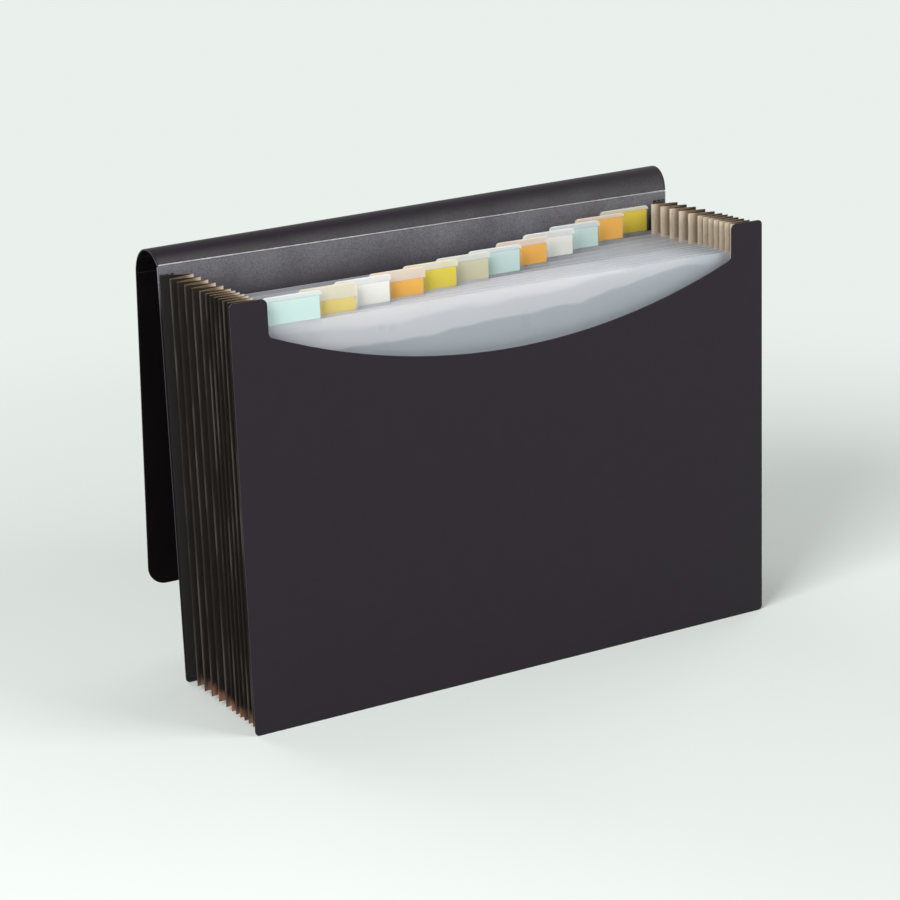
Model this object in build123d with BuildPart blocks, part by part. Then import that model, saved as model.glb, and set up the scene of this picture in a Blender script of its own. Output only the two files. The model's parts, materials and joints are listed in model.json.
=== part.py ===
# Expanding document file, standing open with its flap folded back over the rear cover.
# Frame: +X to the right seen from the front, +Y to the rear, +Z up, millimetres.
# Origin: middle of the rear cover's bottom edge, where the file stands.
import os
from math import cos, degrees, hypot, isclose, radians, sin

from build123d import *

# Covers: stiff plastic sheet
cover_width = 330.0
front_cover_height = 232.0
rear_cover_height = 236.0
rear_sheet_inset = 1.75
cover_thickness = 0.9
cover_corner_radius = 2.5

# Opening as it stands, from the front cover's outer face to the rear cover's outer face
open_depth = 92.0

# Finger scoop in the top of the front cover
scoop_ear_width = 21.0
scoop_side_depth = 20.0
scoop_middle_depth = 48.0
scoop_lip_radius = 3.5
scoop_corner_radius = 3.0

# Pockets: the front ones are pressed together and the rear ones stand wide open
pocket_count = 13
tight_pocket_count = 7
tight_pocket_share = 0.56

# Pleated gusset film round the left, the bottom and the right
gusset_film = 0.25
gusset_side_inset = 2.7
gusset_base_gap = 2.5
gusset_top_inset = 1.0
pleat_depth = 15.5
hem_width = 8.0

# Divider sheets
divider_thickness = 0.4

# Index tabs: a folded clear sleeve over a tongue of the divider, with a card in front of the tongue
tab_width = 33.5
tab_height = 15.5
tab_top_inset = 1.0
tab_side_margin = 0.8
tab_corner_radius = 2.5
tongue_inset = 1.0
sleeve_film = 0.2
sleeve_lap = 2.0
sleeve_clearance = 0.05
card_thickness = 0.2
card_inset = 1.2
card_foot_gap = 0.8
card_height = 12.6
card_height_shares = (0.96, 0.56, 0.9, 0.68, 0.85, 0.88, 0.97, 0.86, 0.9, 0.9, 1.0, 1.0)
card_corner_radius = 0.6

# Flap: a rolled spine of scored slats between the rear cover and the flap's flat sheet
spine_radius = 16.4
spine_lean = 38.0
slat_count = 3
flap_lean = 4.5
flap_length = 183.5
flap_corner_radius = 11.0
score_clearance = 0.15

# Places worked out from the sizes above
half_width = cover_width / 2
rear_half_width = half_width - rear_sheet_inset
half_sheet = cover_thickness / 2
front_cover_y = -(open_depth - cover_thickness)
wide_pocket_count = pocket_count - tight_pocket_count
wide_pitch = (open_depth - cover_thickness) / (wide_pocket_count + tight_pocket_share * tight_pocket_count)
tight_pitch = tight_pocket_share * wide_pitch
divider_count = pocket_count - 1

ridge_half_width = half_width - gusset_side_inset
ridge_base = gusset_base_gap
divider_half_width = ridge_half_width - pleat_depth
divider_base = ridge_base + pleat_depth
gusset_top = front_cover_height - gusset_top_inset


def leaf_wall(leaf_run: float) -> float:
    """Sideways thickness of a leaf of film that comes in by the pleat's depth over a run."""
    return gusset_film * hypot(leaf_run, pleat_depth) / leaf_run


valley_wall = leaf_wall((tight_pitch - divider_thickness) / 2)

tab_top = front_cover_height - tab_top_inset
divider_top = tab_top - tab_height
divider_height = divider_top - divider_base
first_tab_x = -divider_half_width + valley_wall + tab_side_margin + tab_width / 2
tab_pitch = -2 * first_tab_x / (divider_count - 1)

spine_wrap = 180.0 - spine_lean - flap_lean
slat_step = spine_wrap / slat_count
slat_trim = degrees((half_sheet + score_clearance) / spine_radius)


def pocket_pitch(pocket: int) -> float:
    """Front-to-back spacing of one pocket, counted from 0 at the front."""
    return tight_pitch if pocket < tight_pocket_count else wide_pitch


def sheet_y(sheet: int) -> float:
    """Middle plane of a sheet: 0 is the front cover, then the dividers, then the rear cover."""
    return front_cover_y + sum(pocket_pitch(pocket) for pocket in range(sheet))


def pleat_foot(sheet: int) -> float:
    """Distance from a sheet's middle plane to the pleat beside it; a cover carries a hem there."""
    is_cover = sheet in (0, pocket_count)
    return half_sheet + gusset_film if is_cover else divider_thickness / 2


def tab_x(divider: int) -> float:
    """Middle of a divider's tab; the tabs step from left to right, front to back."""
    return first_tab_x + divider * tab_pitch


def upright_plane(y: float) -> Plane:
    """Plane parallel to the covers, drawn as seen from the front."""
    return Plane.XZ.offset(-y)


def save(piece: Part, name: str) -> None:
    """Label one piece and write its file."""
    piece.label = name
    export_step(piece, f"parts/{name}.step")


os.makedirs("parts", exist_ok=True)

# Front cover with its finger scoop
scoop_half_width = half_width - scoop_ear_width
scoop_side_z = front_cover_height - scoop_side_depth
scoop_middle_z = front_cover_height - scoop_middle_depth
with BuildPart() as front_cover:
    with BuildSketch(upright_plane(front_cover_y)):
        with BuildLine():
            Polyline(
                (-scoop_half_width, scoop_side_z),
                (-scoop_half_width, front_cover_height),
                (-half_width, front_cover_height),
                (-half_width, 0),
                (half_width, 0),
                (half_width, front_cover_height),
                (scoop_half_width, front_cover_height),
                (scoop_half_width, scoop_side_z),
            )
            ThreePointArc(
                (scoop_half_width, scoop_side_z),
                (0, scoop_middle_z),
                (-scoop_half_width, scoop_side_z),
            )
        make_face()
        fillet(vertices().filter_by(lambda v: isclose(abs(v.X), half_width)), cover_corner_radius)
        scoop_sides = vertices().filter_by(lambda v: isclose(abs(v.X), scoop_half_width))
        fillet(scoop_sides.group_by(Axis.Y)[-1], scoop_lip_radius)
        scoop_sides = vertices().filter_by(lambda v: isclose(abs(v.X), scoop_half_width))
        fillet(scoop_sides.group_by(Axis.Y)[0], scoop_corner_radius)
    extrude(amount=half_sheet, both=True)
save(front_cover.part, "front_cover")

# Rear cover, which stops just short of the crease that the spine turns on
rear_sheet_height = rear_cover_height - half_sheet - score_clearance
with BuildPart() as rear_cover:
    with BuildSketch(upright_plane(0)):
        Rectangle(2 * rear_half_width, rear_sheet_height, align=(Align.CENTER, Align.MIN))
        fillet(vertices().group_by(Axis.Y)[0], cover_corner_radius)
    extrude(amount=half_sheet, both=True)
save(rear_cover.part, "rear_cover")


def spine_point(angle: float, radius: float) -> tuple[float, float]:
    """Point (Y, Z) on the rolled spine, by its turn from the rear cover's crease."""
    lean, turn = radians(spine_lean), radians(spine_lean + angle)
    centre_y = spine_radius * cos(lean)
    centre_z = rear_cover_height - spine_radius * sin(lean)
    return (centre_y - radius * cos(turn), centre_z + radius * sin(turn))


def spine_heading(angle: float) -> tuple[float, float]:
    """Direction (Y, Z) in which the sheet runs at a turn of the spine."""
    turn = radians(spine_lean + angle)
    return (sin(turn), cos(turn))


def crease_tip(angle: float) -> tuple[float, float]:
    """Foremost point of a sheet edge that is rounded about its crease line."""
    y, z = spine_point(angle, spine_radius)
    heading_y, heading_z = spine_heading(angle)
    return (y - half_sheet * heading_y, z - half_sheet * heading_z)


# Spine slats: each starts with a round edge centred on its crease and stops short of the next
outer_radius = spine_radius + half_sheet
inner_radius = spine_radius - half_sheet
for slat_index in range(slat_count):
    start = slat_index * slat_step
    stop = start + slat_step - slat_trim
    middle = (start + stop) / 2
    with BuildPart() as slat:
        with BuildSketch(Plane.YZ):
            with BuildLine():
                ThreePointArc(
                    spine_point(start, outer_radius),
                    spine_point(middle, outer_radius),
                    spine_point(stop, outer_radius),
                )
                Line(spine_point(stop, outer_radius), spine_point(stop, inner_radius))
                ThreePointArc(
                    spine_point(stop, inner_radius),
                    spine_point(middle, inner_radius),
                    spine_point(start, inner_radius),
                )
                ThreePointArc(
                    spine_point(start, inner_radius),
                    crease_tip(start),
                    spine_point(start, outer_radius),
                )
            make_face()
        extrude(amount=rear_half_width, both=True)
    save(slat.part, f"spine_slat_{slat_index + 1}")

# Flap: the flat sheet that hangs behind, round-edged on its crease, with rounded free corners
flap_run_y, flap_run_z = spine_heading(spine_wrap)
flap_outer = spine_point(spine_wrap, outer_radius)
flap_inner = spine_point(spine_wrap, inner_radius)
flap_outer_end = (flap_outer[0] + flap_length * flap_run_y, flap_outer[1] + flap_length * flap_run_z)
flap_inner_end = (flap_inner[0] + flap_length * flap_run_y, flap_inner[1] + flap_length * flap_run_z)
with BuildPart() as flap:
    with BuildSketch(Plane.YZ):
        with BuildLine():
            Polyline(flap_outer, flap_outer_end, flap_inner_end, flap_inner)
            ThreePointArc(flap_inner, crease_tip(spine_wrap), flap_outer)
        make_face()
    extrude(amount=rear_half_width, both=True)
    free_end = flap.faces().sort_by(Axis.Z)[0]
    fillet(free_end.edges().sort_by(SortBy.LENGTH)[:2], flap_corner_radius)
save(flap.part, "flap")

# Dividers, each with a tongue that carries its tab
sleeve_half_gap = (divider_thickness + card_thickness + 3 * sleeve_clearance) / 2
sleeve_half_outer = sleeve_half_gap + sleeve_film
fold_centre_z = tab_top - sleeve_half_outer
tongue_width = tab_width - 2 * tongue_inset
tongue_height = fold_centre_z - sleeve_clearance - divider_top
tongue_corner_radius = tab_corner_radius - tongue_inset
for divider_index in range(divider_count):
    with BuildPart() as divider:
        with BuildSketch(upright_plane(sheet_y(divider_index + 1))):
            with Locations((0, divider_base)):
                Rectangle(2 * divider_half_width, divider_height, align=(Align.CENTER, Align.MIN))
            with Locations((tab_x(divider_index), divider_top)):
                Rectangle(tongue_width, tongue_height, align=(Align.CENTER, Align.MIN))
            fillet(vertices().group_by(Axis.Y)[-1], tongue_corner_radius)
        extrude(amount=divider_thickness / 2, both=True)
    save(divider.part, f"divider_{divider_index + 1:02d}")

# Tab cards, standing against the front of their tongues
card_width = tab_width - 2 * card_inset
card_foot_z = divider_top + card_foot_gap
card_setback = divider_thickness / 2 + sleeve_clearance
for divider_index in range(divider_count):
    card_back_y = sheet_y(divider_index + 1) - card_setback
    with BuildPart() as card:
        with BuildSketch(upright_plane(card_back_y)):
            this_height = card_height * card_height_shares[divider_index]
            with Locations((tab_x(divider_index), card_foot_z + this_height / 2)):
                RectangleRounded(card_width, this_height, card_corner_radius)
        extrude(amount=card_thickness)
    save(card.part, f"tab_card_{divider_index + 1:02d}")

# Tab sleeves: clear film folded over the tongue and its card
sleeve_foot_z = divider_top - sleeve_lap
sleeve_height = tab_top - sleeve_foot_z
for divider_index in range(divider_count):
    sleeve_back_y = sheet_y(divider_index + 1) + divider_thickness / 2 + sleeve_clearance
    sleeve_middle_y = sleeve_back_y - sleeve_half_gap
    with BuildPart() as sleeve:
        with BuildSketch(Plane.YZ.offset(tab_x(divider_index))):
            with BuildLine():
                Polyline(
                    (sleeve_middle_y - sleeve_half_gap, fold_centre_z),
                    (sleeve_middle_y - sleeve_half_gap, sleeve_foot_z),
                    (sleeve_middle_y - sleeve_half_outer, sleeve_foot_z),
                    (sleeve_middle_y - sleeve_half_outer, fold_centre_z),
                )
                ThreePointArc(
                    (sleeve_middle_y - sleeve_half_outer, fold_centre_z),
                    (sleeve_middle_y, fold_centre_z + sleeve_half_outer),
                    (sleeve_middle_y + sleeve_half_outer, fold_centre_z),
                )
                Polyline(
                    (sleeve_middle_y + sleeve_half_outer, fold_centre_z),
                    (sleeve_middle_y + sleeve_half_outer, sleeve_foot_z),
                    (sleeve_middle_y + sleeve_half_gap, sleeve_foot_z),
                    (sleeve_middle_y + sleeve_half_gap, fold_centre_z),
                )
                ThreePointArc(
                    (sleeve_middle_y + sleeve_half_gap, fold_centre_z),
                    (sleeve_middle_y, fold_centre_z + sleeve_half_gap),
                    (sleeve_middle_y - sleeve_half_gap, fold_centre_z),
                )
            make_face()
        extrude(amount=tab_width / 2, both=True)
        with BuildSketch(upright_plane(sleeve_middle_y)):
            with Locations((tab_x(divider_index), sleeve_foot_z)):
                Rectangle(tab_width, sleeve_height, align=(Align.CENTER, Align.MIN))
            fillet(vertices().group_by(Axis.Y)[-1], tab_corner_radius)
        extrude(amount=sleeve_half_outer, both=True, mode=Mode.INTERSECT, clean=False)
    save(sleeve.part, f"tab_sleeve_{divider_index + 1:02d}")


def gusset_section(inward: float, wall: float) -> list[tuple[float, float]]:
    """Corners (X, Z) of one upright cut through a pleat: a thin U, stepped in from the ridge."""
    outer_x = ridge_half_width - inward
    outer_z = ridge_base + inward
    inner_x = outer_x - wall
    inner_z = outer_z + wall
    return [
        (-outer_x, gusset_top),
        (-outer_x, outer_z),
        (outer_x, outer_z),
        (outer_x, gusset_top),
        (inner_x, gusset_top),
        (inner_x, inner_z),
        (-inner_x, inner_z),
        (-inner_x, gusset_top),
    ]


# Hems: the flat margins of the gusset film, welded to the inner faces of the covers
for hem_name, hem_face in (
    ("front_hem", upright_plane(front_cover_y + half_sheet + gusset_film)),
    ("rear_hem", upright_plane(-half_sheet)),
):
    with BuildPart() as hem:
        with BuildSketch(hem_face):
            with BuildLine():
                Polyline(*gusset_section(0, hem_width), close=True)
            make_face()
        extrude(amount=gusset_film)
    save(hem.part, hem_name)

# Gusset pleats: one mitred U of folded film for each pocket. Between two dividers the film runs
# out to a ridge and back; at a cover it is a single leaf that ends on the cover's hem.
for pocket_index in range(pocket_count):
    front_y = sheet_y(pocket_index) + pleat_foot(pocket_index)
    rear_y = sheet_y(pocket_index + 1) - pleat_foot(pocket_index + 1)
    ridge_y = (front_y + rear_y) / 2
    if pocket_index == 0:
        folds = [(front_y, 0), (rear_y, pleat_depth)]
    elif pocket_index == pocket_count - 1:
        folds = [(front_y, pleat_depth), (rear_y, 0)]
    else:
        folds = [(front_y, pleat_depth), (ridge_y, 0), (rear_y, pleat_depth)]
    wall = leaf_wall(folds[1][0] - folds[0][0])
    with BuildPart() as pleat:
        for fold_y, inward in folds:
            with BuildSketch(upright_plane(fold_y)):
                with BuildLine():
                    Polyline(*gusset_section(inward, wall), close=True)
                make_face()
        loft(ruled=True)
    save(pleat.part, f"gusset_pleat_{pocket_index + 1:02d}")
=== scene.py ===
"""Looks of an expanding document file, built round its packed construction."""
import json
import logging
from collections.abc import Callable, Iterator
from contextlib import contextmanager
from dataclasses import dataclass, field
from enum import Enum, IntEnum
from math import atan2, cos, hypot, pi, radians, sin, sqrt

import bmesh
import bpy
from mathutils import Matrix, Vector

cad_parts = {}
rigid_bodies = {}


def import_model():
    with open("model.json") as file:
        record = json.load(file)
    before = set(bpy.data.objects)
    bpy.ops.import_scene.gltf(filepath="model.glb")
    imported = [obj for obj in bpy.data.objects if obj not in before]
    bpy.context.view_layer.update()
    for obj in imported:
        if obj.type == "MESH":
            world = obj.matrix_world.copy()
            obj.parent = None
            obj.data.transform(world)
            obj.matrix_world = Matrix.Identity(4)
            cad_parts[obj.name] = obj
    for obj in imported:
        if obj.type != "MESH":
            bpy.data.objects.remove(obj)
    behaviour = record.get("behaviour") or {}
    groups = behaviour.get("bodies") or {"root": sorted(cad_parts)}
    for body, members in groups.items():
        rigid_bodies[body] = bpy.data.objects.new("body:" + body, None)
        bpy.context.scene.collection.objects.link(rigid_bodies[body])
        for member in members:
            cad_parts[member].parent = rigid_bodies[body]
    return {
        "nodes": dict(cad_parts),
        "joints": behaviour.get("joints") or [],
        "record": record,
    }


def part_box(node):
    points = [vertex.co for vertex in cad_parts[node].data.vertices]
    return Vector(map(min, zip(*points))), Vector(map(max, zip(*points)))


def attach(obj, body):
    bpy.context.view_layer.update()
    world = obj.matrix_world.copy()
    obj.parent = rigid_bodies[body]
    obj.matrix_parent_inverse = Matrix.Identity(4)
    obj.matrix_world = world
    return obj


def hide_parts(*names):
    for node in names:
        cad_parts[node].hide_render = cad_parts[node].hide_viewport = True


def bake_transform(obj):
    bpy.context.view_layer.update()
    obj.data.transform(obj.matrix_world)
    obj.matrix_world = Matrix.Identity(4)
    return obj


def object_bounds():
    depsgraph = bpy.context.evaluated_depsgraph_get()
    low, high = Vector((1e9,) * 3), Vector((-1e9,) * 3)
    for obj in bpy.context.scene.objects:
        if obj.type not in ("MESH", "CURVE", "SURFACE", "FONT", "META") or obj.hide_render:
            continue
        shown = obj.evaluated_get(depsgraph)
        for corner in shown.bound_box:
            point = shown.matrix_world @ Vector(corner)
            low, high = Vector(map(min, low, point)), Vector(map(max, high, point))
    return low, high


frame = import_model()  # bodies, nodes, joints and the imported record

LOG = logging.getLogger("document_file")
CAD_LOW, CAD_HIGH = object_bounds()
MM = 0.001  # all sizes are in metres
NEAR = 0.02 * MM  # points closer than this count as one
SHARP = radians(60)  # a cut edge turns by more than this
SHEET_SMOOTH = 20.0  # degrees, for the shading of stiff sheet
QUARTER_TURN = pi / 2
NOISE_MIDDLE = 0.5

Axes = tuple[float, float, float]
Colour = tuple[float, float, float]
Piece = bpy.types.Object
Socket = bpy.types.NodeSocket


def tint(red: int, green: int, blue: int) -> Colour:
    """Turn a screen colour into the linear one that shaders take.

    Args:
        red: Red on a scale of 255.
        green: Green on a scale of 255.
        blue: Blue on a scale of 255.

    Returns:
        The same colour in linear light.
    """
    full, toe, toe_slope, offset, gamma = 255, 0.04045, 12.92, 0.055, 2.4

    def linear(value: int) -> float:
        """Give one channel in linear light."""
        share = value / full
        return share / toe_slope if share <= toe else ((share + offset) / (1 + offset)) ** gamma

    return linear(red), linear(green), linear(blue)


class Element(Enum):
    """Kinds of mesh element that are picked in edit mode."""

    VERT = "VERT"
    EDGE = "EDGE"


class SheetSide(IntEnum):
    """Sides of a sheet, in the order of their material places."""

    FACE = 0
    BACK = 1
    EDGE = 2


def deselect() -> None:
    """Deselect every object, because an operator acts on all that is selected."""
    bpy.ops.object.select_all(action="DESELECT")


def focus(piece: Piece) -> None:
    """Make one object the only selected and active one.

    Args:
        piece: The object that the next operators act on.
    """
    deselect()
    piece.select_set(True)
    bpy.context.view_layer.objects.active = piece


@contextmanager
def edit_mode(piece: Piece) -> Iterator[None]:
    """Hold a piece in edit mode with everything selected.

    Args:
        piece: The mesh object to edit.
    """
    focus(piece)
    bpy.ops.object.mode_set(mode="EDIT")
    bpy.ops.mesh.select_all(action="SELECT")
    yield
    bpy.ops.object.mode_set(mode="OBJECT")


def pick(piece: Piece, kind: Element, wanted: Callable[[object], bool]) -> None:
    """Select the elements of a piece in edit mode that pass a test.

    Args:
        piece: The mesh object in edit mode.
        kind: Which elements are tested.
        wanted: True for an element that is selected.
    """
    bpy.ops.mesh.select_mode(type=kind.value)
    bpy.ops.mesh.select_all(action="DESELECT")
    mesh = bmesh.from_edit_mesh(piece.data)
    for element in mesh.verts if kind is Element.VERT else mesh.edges:
        if wanted(element):
            element.select_set(True)
    mesh.select_flush_mode()
    bmesh.update_edit_mesh(piece.data)


def start_piece(name: str) -> Piece:
    """Name the primitive that was just added and put its place into its mesh.

    Args:
        name: The piece's name.

    Returns:
        The piece, with its object at the origin.
    """
    piece = bpy.context.object
    piece.name = piece.data.name = name
    bpy.ops.object.transform_apply(location=True, rotation=True, scale=True)
    return piece


def upright_plane(name: str, low: Vector, high: Vector, cells: tuple[int, int] = (1, 1)) -> Piece:
    """Add a plane that stands parallel to the covers.

    Args:
        name: The piece's name.
        low: Lower left corner.
        high: Upper right corner, at the same depth.
        cells: How many cells it has across and up.

    Returns:
        The new plane.
    """
    deselect()
    middle = (low + high) / 2
    bpy.ops.mesh.primitive_grid_add(
        x_subdivisions=cells[0], y_subdivisions=cells[1], size=1,
        location=middle, rotation=(QUARTER_TURN, 0, 0),
    )
    bpy.context.object.scale = (high.x - low.x, high.z - low.z, 1)
    return start_piece(name)


def copy_piece(piece: Piece, name: str, move: Vector) -> Piece:
    """Copy a piece with a mesh of its own and set the copy some way off.

    Args:
        piece: The piece that is copied.
        name: The copy's name.
        move: The way from the piece to its copy.

    Returns:
        The copy.
    """
    focus(piece)
    bpy.ops.object.duplicate(linked=False)
    bpy.context.object.location = move
    return start_piece(name)


def apply_modifier(piece: Piece, kind: str, **settings: object) -> None:
    """Add a modifier, set it and apply it.

    Args:
        piece: The mesh object.
        kind: The modifier's type.
        **settings: Its properties.
    """
    modifier = piece.modifiers.new(kind.lower(), kind)
    for key, value in settings.items():
        setattr(modifier, key, value)
    focus(piece)
    bpy.ops.object.modifier_apply(modifier=modifier.name)


def smooth(piece: Piece, angle: float = 35.0) -> None:
    """Shade a piece smoothly except at edges sharper than an angle in degrees."""
    focus(piece)
    bpy.ops.object.shade_smooth_by_angle(angle=radians(angle))


def sway(piece: Piece, axis: str, amount: float, size: float, hold: Callable[[Vector], float]) -> None:
    """Let a sheet wander a little out of its plane.

    Args:
        piece: The sheet, fine enough to bend.
        axis: The direction in which it wanders.
        amount: The widest swing.
        size: The length of one wave.
        hold: How free a point is, from 0 where it is held to 1.
    """
    group = piece.vertex_groups.new(name="free")
    for vertex in piece.data.vertices:
        group.add([vertex.index], hold(vertex.co), "REPLACE")
    cloud = bpy.data.textures.new(f"{piece.name}_sway", "CLOUDS")
    cloud.noise_scale = size
    apply_modifier(
        piece, "DISPLACE", texture=cloud, texture_coords="LOCAL", direction=axis,
        strength=amount, mid_level=NOISE_MIDDLE, vertex_group=group.name,
    )
    piece.vertex_groups.clear()


def thicken(piece: Piece, film: float) -> None:
    """Give a sheet its thickness, with material places for its face, its back and its cut edges.

    Args:
        piece: The sheet without thickness.
        film: The thickness, half of it on each side.
    """
    for _ in SheetSide:
        piece.data.materials.append(None)
    apply_modifier(
        piece, "SOLIDIFY", thickness=film, offset=0.0, use_even_offset=True,
        material_offset=SheetSide.BACK, material_offset_rim=SheetSide.EDGE,
    )


def mark_inside(piece: Piece, inner: Callable[[bpy.types.MeshPolygon], bool]) -> None:
    """Give the inner faces of a sheet a second material place.

    Args:
        piece: The sheet, with its thickness.
        inner: True for a face on the sheet's inside.
    """
    for _ in (SheetSide.FACE, SheetSide.BACK):
        piece.data.materials.append(None)
    for face in piece.data.polygons:
        face.material_index = SheetSide.BACK if inner(face) else SheetSide.FACE


def dress_with(piece: Piece, *finishes: bpy.types.Material) -> None:
    """Fill the material places of a piece in order.

    Args:
        piece: The mesh object, with or without such places.
        *finishes: Its materials, the first for its face.
    """
    materials = piece.data.materials
    for place, finish in enumerate(finishes):
        if place < len(materials):
            materials[place] = finish
        else:
            materials.append(finish)


def settle(piece: Piece, finishes: tuple[bpy.types.Material, ...], slot: str, *nodes: str) -> None:
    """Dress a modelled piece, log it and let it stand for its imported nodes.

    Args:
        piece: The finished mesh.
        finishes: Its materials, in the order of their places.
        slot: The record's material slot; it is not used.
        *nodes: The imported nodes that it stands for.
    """
    dress_with(piece, *finishes)
    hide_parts(*nodes)
    LOG.info("%s: %d faces, stands for %s", piece.name, len(piece.data.polygons), ", ".join(nodes))


def seen_rays(tree: bpy.types.NodeTree) -> Socket:
    """Tell the rays that show a surface from those that only light it.

    Args:
        tree: The node tree of a material or of the surroundings.

    Returns:
        1 for rays from the camera and for reflected or refracted ones, otherwise 0.
    """
    rays = tree.nodes.new("ShaderNodeLightPath")
    seen = rays.outputs["Is Camera Ray"]
    for ray in ("Is Glossy Ray", "Is Transmission Ray"):
        most = tree.nodes.new("ShaderNodeMath")
        most.operation = "MAXIMUM"
        tree.links.new(seen, most.inputs[0])
        tree.links.new(rays.outputs[ray], most.inputs[1])
        seen = most.outputs[0]
    return seen


class Recipe:
    """Node graph of one material, grown a node at a time."""

    def __init__(self, name: str) -> None:
        """Start a material with one plain shader.

        Args:
            name: The material's name.
        """
        self.material = bpy.data.materials.new(name)
        self.material.use_nodes = True
        self.tree = self.material.node_tree
        self.tree.nodes.clear()
        self.shader = self.add("ShaderNodeBsdfPrincipled")
        self.output = self.add("ShaderNodeOutputMaterial")
        self.join(self.shader.outputs[0], self.output.inputs["Surface"])

    def add(self, kind: str, **values: object) -> bpy.types.Node:
        """Add a node and set the inputs that are named.

        Args:
            kind: The node's type.
            **values: Input values, with spaces in a name written as underscores.

        Returns:
            The new node.
        """
        node = self.tree.nodes.new(kind)
        for key, value in values.items():
            node.inputs[key.replace("_", " ")].default_value = value
        return node

    def join(self, source: Socket, target: Socket) -> None:
        """Link an output to an input."""
        self.tree.links.new(source, target)

    def plain(self, **values: object) -> None:
        """Set inputs of the shader that are the same all over."""
        for key, value in values.items():
            self.shader.inputs[key.replace("_", " ")].default_value = value

    def place(self, stretch: Axes = (1, 1, 1), turn: Axes = (0, 0, 0)) -> Socket:
        """Give object coordinates, drawn out and then turned.

        Args:
            stretch: How far a pattern is drawn out along each axis.
            turn: Its turn about each axis.

        Returns:
            The coordinates.
        """
        where = self.add("ShaderNodeTexCoord")
        scale = tuple(1 / along for along in stretch)
        mapping = self.add("ShaderNodeMapping", Scale=scale, Rotation=turn)
        self.join(where.outputs["Object"], mapping.inputs["Vector"])
        return mapping.outputs[0]

    def noise(self, where: Socket, size: float, detail: float = 2) -> Socket:
        """Give a cloudy value.

        Args:
            where: The coordinates.
            size: About how large its blots are.
            detail: How many finer layers it has.

        Returns:
            The value, mostly near its middle.
        """
        cloud = self.add("ShaderNodeTexNoise", Scale=1 / size, Detail=detail)
        self.join(where, cloud.inputs["Vector"])
        return cloud.outputs[0]

    def pebble(self, where: Socket, size: float) -> Socket:
        """Give the height of a pebbled grain.

        Args:
            where: The coordinates.
            size: About how large its cells are.

        Returns:
            The height.
        """
        cells = self.add("ShaderNodeTexVoronoi", Scale=1 / size)
        self.join(where, cells.inputs["Vector"])
        return cells.outputs["Distance"]

    def studs(self, size: float) -> Socket:
        """Lay a square grid of studs along the covers.

        Args:
            size: The way from one stud to the next.

        Returns:
            The distance from the nearest stud, as a share of the size.
        """
        cells = self.add("ShaderNodeTexVoronoi", Scale=1 / size, Randomness=0)
        cells.voronoi_dimensions = "2D"
        self.join(self.place(turn=(-QUARTER_TURN, 0, 0)), cells.inputs["Vector"])
        return cells.outputs["Distance"]

    def between(
        self, value: Socket, low: float, high: float, start: float = 0.0, stop: float = 1.0
    ) -> Socket:
        """Ease from one result to another as a value goes from low to high.

        Args:
            value: The value that is read.
            low: Where the easing starts.
            high: Where it ends, which may also lie below.
            start: The result at low.
            stop: The result at high.

        Returns:
            The eased result.
        """
        ranged = self.add("ShaderNodeMapRange", From_Min=low, From_Max=high, To_Min=start, To_Max=stop)
        ranged.interpolation_type = "SMOOTHSTEP"
        self.join(value, ranged.inputs["Value"])
        return ranged.outputs[0]

    def along(self, where: Socket, axis: str) -> Socket:
        """Give one coordinate of a place.

        Args:
            where: The coordinates.
            axis: Which one of them.

        Returns:
            The coordinate.
        """
        parts = self.add("ShaderNodeSeparateXYZ")
        self.join(where, parts.inputs[0])
        return parts.outputs[axis]

    def outward(self) -> Socket:
        """Give the sideways distance from the middle of the file."""
        return self.sum_up("ABSOLUTE", self.along(self.place(), "X"), 0)

    def sum_up(
        self, kind: str, first: Socket, second: Socket | float
    ) -> Socket:
        """Work two values together.

        Args:
            kind: The sum's kind, such as ADD or MULTIPLY.
            first: The first value.
            second: The second value, a socket or a number.

        Returns:
            The result.
        """
        node = self.add("ShaderNodeMath")
        node.operation = kind
        self.join(first, node.inputs[0])
        if isinstance(second, Socket):
            self.join(second, node.inputs[1])
        else:
            node.inputs[1].default_value = second
        return node.outputs[0]

    def span(self, value: Socket, low: float, high: float) -> Socket:
        """Stretch the busy middle of a noise over a range.

        Args:
            value: The noise.
            low: The result where the noise is low.
            high: The result where it is high.

        Returns:
            The stretched value.
        """
        middle_low, middle_high = 0.3, 0.7
        ranged = self.add(
            "ShaderNodeMapRange", From_Min=middle_low, From_Max=middle_high, To_Min=low, To_Max=high
        )
        self.join(value, ranged.inputs["Value"])
        return ranged.outputs[0]

    def shade(self, value: Socket, low: Colour, high: Colour) -> Socket:
        """Mix two colours by a value.

        Args:
            value: The share of the second colour.
            low: The first colour.
            high: The second colour.

        Returns:
            The mixed colour.
        """
        ramp = self.add("ShaderNodeValToRGB")
        ramp.color_ramp.elements[0].color = (*low, 1)
        ramp.color_ramp.elements[1].color = (*high, 1)
        self.join(value, ramp.inputs[0])
        return ramp.outputs["Color"]

    def blend(
        self, share: Socket, under: Socket, over: Colour
    ) -> Socket:
        """Lay a colour over a varied one.

        Args:
            share: How much of the colour covers, from 0 to 1.
            under: The colour below.
            over: The colour that is laid over it.

        Returns:
            The mixed colour.
        """
        mix = self.add("ShaderNodeMixRGB", Color2=(*over, 1))
        self.join(share, mix.inputs["Fac"])
        self.join(under, mix.inputs["Color1"])
        return mix.outputs[0]

    def emboss(self, height: Socket, depth: float) -> None:
        """Press a height into the shader's surface.

        Args:
            height: The height, from 0 to 1.
            depth: How deep the relief is.
        """
        bump = self.add("ShaderNodeBump", Distance=depth, Strength=1)
        self.join(height, bump.inputs["Height"])
        self.join(bump.outputs[0], self.shader.inputs["Normal"])

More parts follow.
